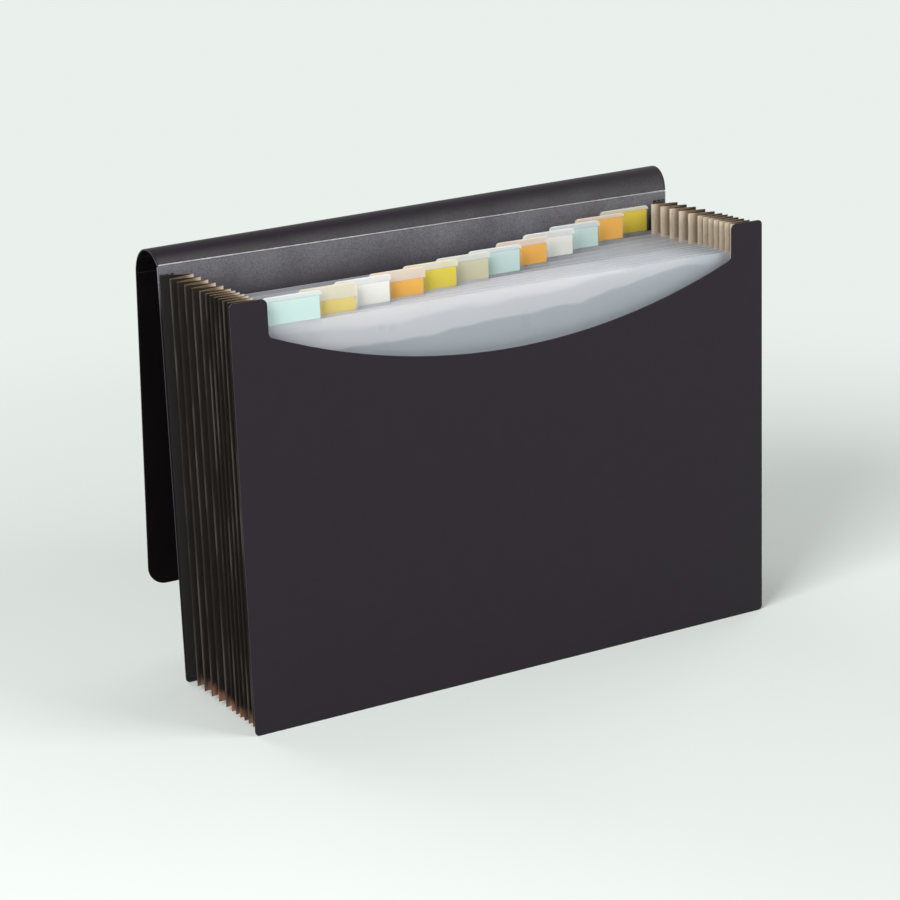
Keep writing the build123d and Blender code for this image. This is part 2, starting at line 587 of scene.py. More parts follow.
    def layer(self, kind: str, share: float, colour: Colour) -> bpy.types.Node:
        """Mix a second shader over the whole surface.

        Args:
            kind: The shader's type.
            share: How much of the surface's light it takes.
            colour: Its colour.

        Returns:
            The node that mixes them.
        """
        shader = self.add(kind, Color=(*colour, 1))
        mix = self.add("ShaderNodeMixShader", Fac=share)
        self.join(self.output.inputs["Surface"].links[0].from_socket, mix.inputs[1])
        self.join(shader.outputs[0], mix.inputs[2])
        self.join(mix.outputs[0], self.output.inputs["Surface"])
        return mix


@dataclass(frozen=True)
class SheetFinish:
    """Stiff plastic sheet with a fine pebbled grain and hand rubbed patches."""

    name: str
    colour: Colour
    lift: Colour
    rough: tuple[float, float]
    grain: float = 0.9 * MM
    grain_depth: float = 0.02 * MM
    mottle: float = 9 * MM
    rub: float = 45 * MM
    gloss: float = 0.3

    def colouring(self, recipe: Recipe, where: Socket) -> Socket:
        """Give the sheet's mottled colour."""
        return recipe.shade(recipe.noise(where, self.mottle, detail=4), self.colour, self.lift)

    def make(self) -> bpy.types.Material:
        """Build the material.

        Returns:
            The material with all its nodes.
        """
        recipe = Recipe(self.name)
        where = recipe.place()
        recipe.join(self.colouring(recipe, where), recipe.shader.inputs["Base Color"])
        rubbed = recipe.span(recipe.noise(where, self.rub, detail=3), *self.rough)
        recipe.join(rubbed, recipe.shader.inputs["Roughness"])
        recipe.emboss(recipe.pebble(where, self.grain), self.grain_depth)
        recipe.plain(Specular_IOR_Level=self.gloss)
        return recipe.material


@dataclass(frozen=True)
class SheenPaintedSheetFinish(SheetFinish):
    """The same sheet, with a painted sheen: lighter, up to its lift, in a speckled band towards its
    crease.
    """

    bloom_axis: str = "Z"
    bloom_low: float = 205 * MM
    bloom_high: float = 238 * MM
    bloom_wave: float = 26 * MM
    bloom_shares: tuple[float, float] = (0.8, 1.2)
    speck: float = 0.7 * MM
    speck_shares: tuple[float, float] = (0.55, 1.0)

    def colouring(self, recipe: Recipe, where: Socket) -> Socket:
        """Give the sheet's colour, lighter in a speckled band under the crease as a painted sheen.

        Args:
            recipe: The material that is being made.
            where: The coordinates that its patterns follow.

        Returns:
            The colour.
        """
        # Painted sheen: lighter towards the crease, in patches and specks.
        near = recipe.between(recipe.along(where, self.bloom_axis), self.bloom_low, self.bloom_high)
        patch = recipe.span(recipe.noise(where, self.bloom_wave), *self.bloom_shares)
        speck = recipe.span(recipe.noise(where, self.speck), *self.speck_shares)
        painted_sheen = recipe.sum_up("MULTIPLY", recipe.sum_up("MULTIPLY", near, patch), speck)
        return recipe.shade(painted_sheen, self.colour, self.lift)


@dataclass(frozen=True)
class FilmFinish:
    """Thin plastic film that scatters some light back and lets some through."""

    name: str
    colour: Colour
    lift: Colour
    through: Colour
    through_share: float
    clear: Colour
    clear_share: float
    rough: tuple[float, float]
    cloud: float = 22 * MM
    grain: float = 0.6 * MM
    grain_depth: float = 0.006 * MM
    stretch: Axes = (1, 1, 1)
    gloss: float = 0.5

    def colouring(self, recipe: Recipe, where: Socket) -> Socket:
        """Give the film's cloudy colour."""
        return recipe.shade(recipe.noise(where, self.cloud, detail=3), self.colour, self.lift)

    def veil(self, recipe: Recipe, mix: bpy.types.Node) -> None:
        """Vary how clear the film is; a plain film is the same all over."""

    def make(self) -> bpy.types.Material:
        """Build the material.

        Returns:
            The material with all its nodes.
        """
        recipe = Recipe(self.name)
        where = recipe.place(self.stretch)
        recipe.join(self.colouring(recipe, where), recipe.shader.inputs["Base Color"])
        clouded = recipe.span(recipe.noise(where, self.cloud), *self.rough)
        recipe.join(clouded, recipe.shader.inputs["Roughness"])
        recipe.emboss(recipe.noise(where, self.grain), self.grain_depth)
        recipe.plain(Specular_IOR_Level=self.gloss)
        recipe.layer("ShaderNodeBsdfTranslucent", self.through_share, self.through)
        self.veil(recipe, recipe.layer("ShaderNodeBsdfTransparent", self.clear_share, self.clear))
        return recipe.material


@dataclass(frozen=True)
class PleatFilmFinish(FilmFinish):
    """Film with a painted glow of light through it round the bottom folds, and worn to its lift along
    its ridges.
    """

    ridge: float = 0.0
    crease_reach: float = 0.8 * MM
    crease_wear: float = 12 * MM
    wear_range: tuple[float, float] = (0.42, 0.62)
    thin: Colour = (0.0, 0.0, 0.0)
    thin_high: float = 10 * MM
    ragged: float = 3 * MM

    def colouring(self, recipe: Recipe, where: Socket) -> Socket:
        """Give the film's colour, paler at its ridges and, with a ragged fade, in a painted glow
        towards the bottom.

        Args:
            recipe: The material that is being made.
            where: The coordinates that its patterns follow.

        Returns:
            The colour.
        """
        # Painted glow: light through the film at the foot, with a ragged top.
        jag = recipe.span(recipe.noise(where, self.ragged, detail=3), -self.ragged, self.ragged)
        height = recipe.sum_up("ADD", recipe.along(recipe.place(), "Z"), jag)
        glowing = recipe.between(height, self.thin_high, 0)
        worn = recipe.between(recipe.noise(where, self.crease_wear, detail=3), *self.wear_range)
        edge = recipe.between(recipe.outward(), self.ridge - self.crease_reach, self.ridge)
        folded = recipe.sum_up("MULTIPLY", edge, worn)
        return recipe.blend(folded, recipe.shade(glowing, self.colour, self.thin), self.lift)


@dataclass(frozen=True)
class PleatLiningFinish(FilmFinish):
    """Inside of the film: painted light at its lift beside the dividers, painted shade darker to the
    ridge, and streaked.
    """

    valley: float = 0.0
    ridge: float = 0.0
    streak: Colour = (0.0, 0.0, 0.0)
    streak_size: float = 1.4 * MM
    streak_range: tuple[float, float] = (0.45, 0.7)
    streak_share: float = 0.22
    deep_share: float = 0.38
    fold: Colour = (0.0, 0.0, 0.0)
    fold_share: float = 0.45

    def colouring(self, recipe: Recipe, where: Socket) -> Socket:
        """Give the film's colour from valley to ridge, from painted light to painted shade, under
        upright streaks.

        Args:
            recipe: The material that is being made.
            where: The coordinates that its patterns follow.

        Returns:
            The colour.
        """
        # Painted light beside the dividers; painted shade towards the ridge, darkest near it.
        run = self.ridge - self.valley
        shade_to_ridge = recipe.between(recipe.outward(), self.valley, self.valley + run * self.deep_share)
        folded = recipe.between(recipe.outward(), self.valley + run * self.fold_share, self.ridge)
        film = recipe.blend(folded, recipe.shade(shade_to_ridge, self.lift, self.colour), self.fold)
        cloud = recipe.noise(where, self.streak_size)
        streaks = recipe.between(cloud, *self.streak_range, 0, self.streak_share)
        return recipe.blend(streaks, film, self.streak)


@dataclass(frozen=True)
class FrostedPaintedLightFinish(FilmFinish):
    """Film painted from grey shade to white light in steps, at wavy lines that climb to the right."""

    clear_top: float = 0.2
    steps: tuple[tuple[float, float, float], ...] = ()  # low, high and share of each
    wave: float = 55 * MM
    wave_stretch: Axes = (1, 1, 0.5)
    wave_height: float = 16 * MM
    climb: float = 0.09
    weld: float = 0.0
    weld_reach: float = 45 * MM
    weld_frost: float = 0.3

    def frosting(self, recipe: Recipe) -> Socket:
        """Give the painted light on the film, rising by a share at each line and less beside the welds.

        Args:
            recipe: The material that is being made.

        Returns:
            The painted light, from 0 at the bottom to 1 at the top.
        """
        cloud = recipe.noise(recipe.place(self.wave_stretch), self.wave)
        either_way = recipe.sum_up("SUBTRACT", cloud, NOISE_MIDDLE)
        swing = recipe.sum_up("MULTIPLY", either_way, self.wave_height)
        right = recipe.sum_up("MAXIMUM", recipe.along(recipe.place(), "X"), 0)
        wavy = recipe.sum_up("ADD", recipe.along(recipe.place(), "Z"), swing)
        height = recipe.sum_up("SUBTRACT", wavy, recipe.sum_up("MULTIPLY", right, self.climb))
        # Painted light over painted shade: each step lifts the grey towards white.
        (low, high, share), *upper = self.steps
        lit = recipe.between(height, low, high, 0, share)
        for low, high, share in upper:
            lit = recipe.sum_up("ADD", lit, recipe.between(height, low, high, 0, share))
        inner = self.weld - self.weld_reach
        beside = recipe.between(recipe.outward(), inner, self.weld, 1, self.weld_frost)
        return recipe.sum_up("MULTIPLY", lit, beside)

    def colouring(self, recipe: Recipe, where: Socket) -> Socket:
        """Give the film's colour, from its painted shade to its painted light."""
        return recipe.shade(self.frosting(recipe), self.colour, self.lift)

    def veil(self, recipe: Recipe, mix: bpy.types.Node) -> None:
        """Let less light straight through where more light is painted on."""
        clear = recipe.between(self.frosting(recipe), 0, 1, self.clear_share, self.clear_top)
        recipe.join(clear, mix.inputs["Fac"])


@dataclass(frozen=True)
class SleeveFinish(FilmFinish):
    """Film that is clear over the card in it and milky above the card."""

    card_top: float = 0.0
    clear_above: float = 0.4
    soft: float = 0.25 * MM

    def veil(self, recipe: Recipe, mix: bpy.types.Node) -> None:
        """Let less light straight through above the card's edge.

        Args:
            recipe: The material that is being made.
            mix: The node that lets light straight through.
        """
        height = recipe.along(recipe.place(), "Z")
        low, high = self.card_top - self.soft, self.card_top + self.soft
        clear = recipe.between(height, low, high, self.clear_share, self.clear_above)
        recipe.join(clear, mix.inputs["Fac"])


@dataclass(frozen=True)
class HemFinish:
    """Gusset film welded down on a cover, with rows of small weld points."""

    name: str
    colour: Colour
    weld: Colour
    pitch: float = 3.2 * MM
    stud_depth: float = 0.15 * MM
    stud_inner: float = 0.16
    stud_outer: float = 0.3
    rough: tuple[float, float] = (0.3, 0.5)
    gloss: float = 0.3

    def make(self) -> bpy.types.Material:
        """Build the material.

        Returns:
            The material with all its nodes.
        """
        recipe = Recipe(self.name)
        stud = recipe.between(recipe.studs(self.pitch), self.stud_outer, self.stud_inner)
        recipe.join(recipe.shade(stud, self.colour, self.weld), recipe.shader.inputs["Base Color"])
        cloud = recipe.noise(recipe.place(), self.pitch, detail=3)
        recipe.join(recipe.span(cloud, *self.rough), recipe.shader.inputs["Roughness"])
        recipe.emboss(stud, self.stud_depth)
        recipe.plain(Specular_IOR_Level=self.gloss)
        return recipe.material


@dataclass(frozen=True)
class CardFinish:
    """Uncoated paper with short fibres."""

    name: str
    colour: Colour
    fleck: float = 0.93
    fibre: float = 0.35 * MM
    fibre_stretch: Axes = (3, 1, 1)
    fibre_depth: float = 0.012 * MM
    rough: tuple[float, float] = (0.75, 0.95)

    def make(self) -> bpy.types.Material:
        """Build the material.

        Returns:
            The material with all its nodes.
        """
        recipe = Recipe(self.name)
        fibres = recipe.noise(recipe.place(self.fibre_stretch), self.fibre, detail=3)
        flecked = tuple(channel * self.fleck for channel in self.colour)
        recipe.join(recipe.shade(fibres, flecked, self.colour), recipe.shader.inputs["Base Color"])
        recipe.join(recipe.span(fibres, *self.rough), recipe.shader.inputs["Roughness"])
        recipe.emboss(fibres, self.fibre_depth)
        return recipe.material


class TabColour(Enum):
    """Colours of the tab cards, by the record's slot."""

    card_blue = tint(198, 223, 219)
    card_yellow = tint(224, 198, 30)
    card_white = tint(236, 235, 229)
    card_orange = tint(243, 180, 66)
    card_lime = tint(228, 208, 55)
    card_beige = tint(207, 203, 171)


RIDGE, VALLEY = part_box("gusset_pleat_02")[1].x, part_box("divider_01")[1].x
UPRIGHT = (1, 1, 4)  # the film's streaks run up the pleats
CHARCOAL = tint(35, 28, 36)
SATIN = (0.43, 0.48)
COVER_SHEET = SheetFinish("cover_sheet", tint(31, 24, 32), CHARCOAL, rough=SATIN, gloss=0.2)
# The lift of the rear cover and of the roll is a painted sheen towards the crease.
REAR_SHEEN_SHEET = SheenPaintedSheetFinish("rear_sheen_sheet", CHARCOAL, tint(130, 129, 134), rough=SATIN, gloss=0.2)
ROLL_SHEEN_SHEET = SheenPaintedSheetFinish(
    "roll_sheen_sheet", CHARCOAL, tint(84, 83, 85), rough=SATIN, gloss=0.1,
    bloom_axis="Y", bloom_low=6 * MM, bloom_high=-2 * MM,
)
# Inner faces of the roll and the flap: a smoother sheet, made darker by painted shade.
SHADED_SMOOTH_SHEET = SheetFinish(
    "shaded_smooth_sheet", tint(13, 10, 12), tint(17, 13, 15), rough=(0.3, 0.42),
    grain_depth=0.008 * MM, gloss=0.15,
)
# Welt of the rear crease: whitened by wear, and lighter still by a painted highlight.
WORN_HIGHLIT_SCORE = SheetFinish(
    "worn_highlit_score", tint(120, 120, 122), tint(226, 226, 228), rough=(0.35, 0.5), mottle=2.5 * MM
)
# Front dividers: grey painted shade below, white painted light above the wavy steps.
FRONT_DIVIDER_FILM = FrostedPaintedLightFinish(
    "front_divider_film", tint(202, 208, 214), tint(236, 233, 236), through=tint(234, 236, 240),
    through_share=0.3, clear=tint(244, 246, 248), clear_share=0.5, clear_top=0.3, rough=(0.25, 0.4),
    steps=((198 * MM, 200.5 * MM, 0.6), (207 * MM, 211 * MM, 0.4)), weld=VALLEY,
)
REAR_DIVIDER_FILM = FilmFinish(
    "rear_divider_film", tint(216, 217, 221), tint(228, 229, 232), through=tint(232, 234, 238),
    through_share=0.4, clear=tint(246, 247, 249), clear_share=0.6, rough=(0.25, 0.4),
)
DIVIDER_EDGE = FilmFinish(
    "divider_edge", tint(238, 240, 243), tint(246, 247, 249), through=tint(246, 248, 250),
    through_share=0.3, clear=(1, 1, 1), clear_share=0.05, rough=(0.3, 0.45),
)
# Outside of the pleats: its own dark film, with a painted glow of light through it at the foot.
GUSSET_OUTSIDE = PleatFilmFinish(
    "gusset_outside", tint(26, 23, 22), tint(78, 74, 71), through=tint(226, 204, 180),
    through_share=0.12, clear=tint(236, 206, 180), clear_share=0.05, rough=(0.35, 0.5),
    stretch=UPRIGHT, gloss=0.15, thin=tint(160, 112, 88), ridge=RIDGE,
)
# Last pleat by the rear cover: the same film, darker and less clear as painted shade.
GUSSET_REAR_SHADE = FilmFinish(
    "gusset_rear_shade", tint(18, 16, 16), tint(24, 21, 20), through=tint(200, 170, 140),
    through_share=0.05, clear=tint(200, 180, 160), clear_share=0.02, rough=(0.35, 0.5),
    stretch=UPRIGHT, gloss=0.15,
)
# The lining's pale lift is painted light through the film, and its colour and ridge shade are painted
# shade; the outside is the same film in its own dark colour.
GUSSET_INSIDE = PleatLiningFinish(
    "gusset_inside", tint(128, 106, 82), tint(255, 239, 214), through=tint(240, 208, 170),
    through_share=0.22, clear=tint(236, 214, 190), clear_share=0.06, rough=(0.4, 0.55),
    stretch=UPRIGHT, gloss=0.25, valley=VALLEY, ridge=RIDGE,
    fold=tint(56, 52, 48), streak=tint(150, 130, 106),
)
GUSSET_EDGE = FilmFinish(
    "gusset_edge", tint(140, 130, 120), tint(166, 154, 143), through=tint(240, 222, 200),
    through_share=0.4, clear=(1, 1, 1), clear_share=0.05, rough=(0.3, 0.45),
)
HEM_FILM = HemFinish("hem_film", tint(26, 22, 21), tint(92, 86, 82))


@dataclass
class Covers:
    """Front and rear cover: cut sheets with softened edges."""

    edge_round: float = 0.18 * MM
    edge_steps: int = 2
    flat: float = radians(0.5)  # faces that differ by less are merged
    pieces: dict[str, Piece] = field(default_factory=dict)

    def build(self) -> None:
        """Model both covers from their packed outlines."""
        for node in ("front_cover", "rear_cover"):
            self.pieces[node] = self._sheet(node)

    def _sheet(self, node: str) -> Piece:
        """Copy a packed sheet, merge its triangles and round its cut edges.

        Args:
            node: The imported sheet's name.

        Returns:
            The copy.
        """
        piece = bpy.data.objects.new(f"{node}_sheet", frame["nodes"][node].data.copy())
        bpy.context.scene.collection.objects.link(piece)
        focus(piece)
        bpy.ops.mesh.customdata_custom_splitnormals_clear()
        with edit_mode(piece):
            bpy.ops.mesh.remove_doubles(threshold=NEAR)
            bpy.ops.mesh.dissolve_limited(angle_limit=self.flat)
            pick(piece, Element.EDGE, lambda edge: edge.calc_face_angle(0) > SHARP)
            bpy.ops.mesh.bevel(offset=self.edge_round, segments=self.edge_steps, affect="EDGES")
        smooth(piece, SHEET_SMOOTH)
        return piece

    def dress(self) -> None:
        """Give both covers their sheet finishes."""
        # The rear cover's finish carries a painted sheen under its crease.
        finishes = {"front_cover": COVER_SHEET.make(), "rear_cover": REAR_SHEEN_SHEET.make()}
        for node, piece in self.pieces.items():
            settle(piece, (finishes[node],), "cover_sheet", node)
            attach(piece, node)


@dataclass
class RolledSpine:
    """The scored strip that rolls over behind the rear cover, and the flap that hangs from it."""

    thickness: float = 0.9 * MM
    radius: float = 16.4 * MM
    lean: float = radians(38)
    edge_round: float = 0.15 * MM
    edge_steps: int = 2
    strip_steps: int = 40
    flap_corner: float = 11 * MM
    corner_steps: int = 10
    score_radius: float = 0.49 * MM
    score_sides: int = 16
    score_steps: int = 3
    score_end: float = 0.6 * MM
    arch: float = 16.5 * MM  # height of the fuller arch at the right end
    facing: float = 0.9  # cosine beyond which a face looks inwards
    pieces: dict[str, Piece] = field(default_factory=dict)

    def __post_init__(self) -> None:
        """Work the roll out from its creases."""
        creases = [joint for joint in frame["joints"] if joint["name"].startswith("spine_crease")]
        self.creases = [Vector(joint["pos_m"]) for joint in creases]
        self.bodies = [creases[0]["parent"], *(joint["child"] for joint in creases)]
        self.centre = self.creases[0] + self.radius * Vector((0, cos(self.lean), -sin(self.lean)))
        self.half_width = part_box("flap")[1].x
        spokes = [crease - self.centre for crease in self.creases]
        turns = [atan2(spoke.z, -spoke.y) for spoke in spokes]
        middles = [(start + stop) / 2 for start, stop in zip(turns, turns[1:])]
        self.turns = [turns[0], *middles, turns[-1]]

    def point(self, turn: float) -> Vector:
        """Give a point on the roll's middle line at a turn from the level."""
        return self.centre + self.radius * Vector((0, -cos(turn), sin(turn)))

    def build(self) -> None:
        """Model the strips, the flap and the two score lines."""
        for strip, (start, stop) in enumerate(zip(self.turns, self.turns[1:]), 1):
            self.pieces[f"spine_strip_{strip}"] = self._strip(f"spine_strip_{strip}", start, stop)
        self.pieces["flap_sheet"] = self._flap()
        for name, crease in (("rear_score", self.creases[0]), ("flap_score", self.creases[-1])):
            self.pieces[name] = self._score(name, crease)

    def _strip(self, name: str, start: float, stop: float) -> Piece:
        """Spin the sheet's cut end round the roll.

        Args:
            name: The strip's name.
            start: Turn at which it starts.
            stop: Turn at which it ends.

        Returns:
            The strip, closed at both ends.
        """
        deselect()
        bpy.ops.mesh.primitive_plane_add(size=1, location=self.point(start), rotation=(-start, 0, 0))
        bpy.context.object.scale = (2 * self.half_width, self.thickness, 1)
        piece = start_piece(name)
        with edit_mode(piece):
            bpy.ops.mesh.spin(
                steps=self.strip_steps, angle=stop - start, center=self.centre, axis=(1, 0, 0)
            )
            bpy.ops.mesh.select_all(action="SELECT")
            bpy.ops.mesh.remove_doubles(threshold=NEAR)
            bpy.ops.mesh.normals_make_consistent(inside=False)
            pick(piece, Element.EDGE, self._is_side_edge)
            bpy.ops.mesh.bevel(offset=self.edge_round, segments=self.edge_steps, affect="EDGES")
        mark_inside(piece, self._is_inner)
        self._loosen(piece)
        smooth(piece, SHEET_SMOOTH)
        return piece

    def _loosen(self, piece: Piece) -> None:
        """Let the roll stand in a fuller arch towards its right end, between its two creases.

        Args:
            piece: A strip of the roll.
        """
        first, last = self.turns[0], self.turns[-1]
        chord = self.creases[-1] - self.creases[0]
        for vertex in piece.data.vertices:
            spoke = vertex.co - self.centre
            turn = min(max(atan2(spoke.z, -spoke.y), first), last)
            share = (turn - first) / (last - first)
            rise = Vector((0, 0, self.arch * sin(pi * share)))
            full = self.creases[0] + chord * (1 - cos(pi * share)) / 2 + rise
            across = (vertex.co.x + self.half_width) / (2 * self.half_width)
            vertex.co += (full - self.point(turn)) * across

    def _is_side_edge(self, edge: bmesh.types.BMEdge) -> bool:
        """Test an edge of a strip.

        Args:
            edge: The edge.

        Returns:
            True if it runs round the roll at one of the sheet's sides.
        """
        at_side = all(abs(abs(vert.co.x) - self.half_width) < NEAR for vert in edge.verts)
        spans = [(vert.co - self.centre).yz.length for vert in edge.verts]
        return at_side and abs(spans[0] - spans[1]) < NEAR

    def _flap(self) -> Piece:
        """Model the flat sheet that hangs from the last crease, with round free corners.

        Returns:
            The sheet.
        """
        lean = pi - self.turns[-1]
        low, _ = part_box("flap")
        length = (self.creases[-1].z - low.z - self.thickness / 2 * sin(lean)) / cos(lean)
        run = Vector((0, sin(lean), -cos(lean)))
        deselect()
        bpy.ops.mesh.primitive_cube_add(
            size=1, location=self.creases[-1] + run * length / 2, rotation=(lean, 0, 0)
        )
        bpy.context.object.scale = (2 * self.half_width, self.thickness, length)
        piece = start_piece("flap_sheet")
        free_end = self.creases[-1].z - length / 2
        with edit_mode(piece):
            pick(
                piece, Element.EDGE,
                lambda edge: edge.verts[0].co.z < free_end and edge.calc_length() < 2 * self.thickness,
            )
            bpy.ops.mesh.bevel(offset=self.flap_corner, segments=self.corner_steps, affect="EDGES")
            pick(piece, Element.EDGE, lambda edge: edge.calc_face_angle(0) > SHARP)
            bpy.ops.mesh.bevel(offset=self.edge_round, segments=self.edge_steps, affect="EDGES")
        smooth(piece, SHEET_SMOOTH)
        mark_inside(piece, lambda face: face.normal.y < -self.facing)
        return piece

    def _is_inner(self, face: bpy.types.MeshPolygon) -> bool:
        """True for a face of the roll that looks at its middle."""
        return face.normal.yz @ (face.center - self.centre).yz.normalized() < -self.facing

    def _score(self, name: str, crease: Vector) -> Piece:
        """Model the welt that a crease leaves in the sheet, drawn in at its ends.

        Args:
            name: The welt's name.
            crease: The middle of the crease.

        Returns:
            The welt.
        """
        deselect()
        length = 2 * (self.half_width - self.score_end)
        bpy.ops.mesh.primitive_cylinder_add(
            vertices=self.score_sides, radius=self.score_radius, depth=length,
            location=crease, rotation=(0, QUARTER_TURN, 0),
        )
        piece = start_piece(name)
        with edit_mode(piece):
            pick(piece, Element.EDGE, lambda edge: edge.calc_face_angle(0) > SHARP)
            bpy.ops.mesh.bevel(offset=self.score_radius / 2, segments=self.score_steps, affect="EDGES")
        smooth(piece)
        return piece

    def dress(self) -> None:
        """Give the roll its finishes and let each strip stand for the slats that it runs between."""
        # The inner faces of the roll and of the flap are painted shade.
        outside, inside = COVER_SHEET.make(), SHADED_SMOOTH_SHEET.make()
        # The roll's outer finish carries a painted sheen towards its first crease.
        rolled, score = ROLL_SHEEN_SHEET.make(), WORN_HIGHLIT_SCORE.make()
        for strip, (start, stop) in enumerate(zip(self.turns, self.turns[1:])):
            piece = self.pieces[f"spine_strip_{strip + 1}"]
            near, far = self.bodies[strip], self.bodies[strip + 1]
            slats = [name for name in (near, far) if "slat" in name]
            settle(piece, (rolled, inside), "cover_sheet", *slats)
            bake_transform(piece)
        settle(self.pieces["flap_sheet"], (outside, inside), "cover_sheet", "flap")
        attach(self.pieces["flap_sheet"], "flap")
        # The rear welt's finish is partly wear and partly a painted highlight.
        for name, body, worn in (("rear_score", "rear_cover", score), ("flap_score", "flap", outside)):
            piece = self.pieces[name]
            dress_with(piece, worn)
            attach(piece, body)
            LOG.info("%s: on %s", name, body)


@dataclass
class Gusset:
    """Pleated film round the left, the bottom and the right of the pockets."""

    film: float = 0.25 * MM
    fold_softness: float = 0.09  # roundness of the ridge, as a share of a leaf's run
    leaf_shares: tuple[float, ...] = (0.05, 0.12, 0.25, 0.5, 0.75, 1.0)  # from ridge to valley
    cuts: int = 14
    swing: float = 0.9 * MM
    swing_size: float = 55 * MM
    pieces: dict[int, Piece] = field(default_factory=dict)

    def __post_init__(self) -> None:
        """Read the pleats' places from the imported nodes."""
        self.count = sum(name.startswith("gusset_pleat") for name in frame["nodes"])
        self.depth = RIDGE - VALLEY

    def build(self) -> None:
        """Fold each kind of pleat once, copy it to its pockets and finish every copy."""
        models: dict[tuple[int, bool, bool], int] = {}
        for pocket in range(1, self.count + 1):
            low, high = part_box(f"gusset_pleat_{pocket:02d}")
            kind = (round((high.y - low.y) / NEAR), pocket == 1, pocket == self.count)
            name = f"gusset_fold_{pocket:02d}"
            if kind in models:
                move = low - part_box(f"gusset_pleat_{models[kind]:02d}")[0]
                self.pieces[pocket] = copy_piece(self.pieces[models[kind]], name, move)
            else:
                models[kind] = pocket
                self.pieces[pocket] = self._fold(name, pocket)
        for pocket, piece in self.pieces.items():
            free = self._freedom(*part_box(f"gusset_pleat_{pocket:02d}"))
            sway(piece, "Y", self.swing, self.swing_size, free)
            thicken(piece, self.film)
            smooth(piece)

    def _inward(self, share: float) -> float:
        """Give how far the film has come in from its ridge at a share of a leaf's run."""
        soft = self.fold_softness
        return self.depth * (sqrt(share * share + soft * soft) - soft) / (sqrt(1 + soft * soft) - soft)

    def _fold(self, name: str, pocket: int) -> Piece:
        """Fold one U of film out to its ridge and back; beside a cover it is a single leaf.

        Args:
            name: The pleat's name.
            pocket: The pocket's number, from the front.

        Returns:
            The pleat as a sheet without thickness.
        """
        low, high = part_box(f"gusset_pleat_{pocket:02d}")
        first, last = pocket == 1, pocket == self.count
        ridge_y = low.y if first else high.y if last else (low.y + high.y) / 2
        ends = [high.y] if first else [low.y] if last else [low.y, high.y]
        corner_low, corner_high = Vector((low.x, ridge_y, low.z)), Vector((high.x, ridge_y, high.z))
        piece = upright_plane(name, corner_low, corner_high)
        with edit_mode(piece):
            bpy.ops.mesh.delete(type="ONLY_FACE")
            pick(piece, Element.EDGE, lambda edge: all(v.co.z > high.z - NEAR for v in edge.verts))
            bpy.ops.mesh.delete(type="EDGE")
            bpy.ops.mesh.select_all(action="SELECT")
            bpy.ops.mesh.subdivide(number_cuts=self.cuts)
            for end_y in ends:
                self._leaf(piece, corner_low, corner_high, end_y)
            bpy.ops.mesh.select_all(action="SELECT")
            bpy.ops.mesh.normals_make_consistent(inside=False)
        if max(piece.data.polygons, key=lambda face: face.center.x).normal.x < 0:
            with edit_mode(piece):
                bpy.ops.mesh.flip_normals()
        return piece

    def _leaf(self, piece: Piece, low: Vector, high: Vector, end_y: float) -> None:
        """Draw one leaf from the ridge in to its valley.

        Args:
            piece: The pleat in edit mode.
            low: Lower left corner of the ridge.
            high: Upper right corner of the ridge.
            end_y: Depth of the valley.
        """
        run = end_y - low.y
        pick(piece, Element.EDGE, lambda edge: all(abs(v.co.y - low.y) < NEAR for v in edge.verts))
        width, height, done = high.x, high.z - low.z, 0.0
        for share in self.leaf_shares:
            inward = self._inward(share)
            bpy.ops.mesh.extrude_region_move(
                TRANSFORM_OT_translate={"value": (0, run * (share - done), 0)}
            )
            bpy.ops.transform.resize(
                value=((high.x - inward) / width, 1, (high.z - low.z - inward) / height),
                center_override=(0, low.y + run * share, high.z),
            )
            width, height, done = high.x - inward, high.z - low.z - inward, share

    def _freedom(self, low: Vector, high: Vector) -> Callable[[Vector], float]:
        """Give a test of how free a pleat's film is: held at the valleys, free at the ridge.

        Args:
            low: Lowest corner of the pleat's box.
            high: Highest corner of the pleat's box.

        Returns:
            The test, for a point on the pleat.
        """

        def free(point: Vector) -> float:
            """Give 1 at the ridge and 0 from the valley on."""
            inward = min(high.x - abs(point.x), point.z - low.z)
            return max(0.0, 1 - inward / self.depth)

        return free

    def dress(self) -> None:
        """Give every pleat its film; dress the hems."""
        outside, inside, edge = GUSSET_OUTSIDE.make(), GUSSET_INSIDE.make(), GUSSET_EDGE.make()
        shaded_rear_leaf, hem_finish = GUSSET_REAR_SHADE.make(), HEM_FILM.make()
        for hem in ("front_hem", "rear_hem"):
            dress_with(frame["nodes"][hem], hem_finish)
            LOG.info("%s: dressed as %s", hem, hem_finish.name)
        for pocket, piece in self.pieces.items():
            node = f"gusset_pleat_{pocket:02d}"
            # The last pleat gets the film with painted shade.
            film = shaded_rear_leaf if pocket == self.count else outside
            settle(piece, (film, inside, edge), "gusset_film", node)
            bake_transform(piece)


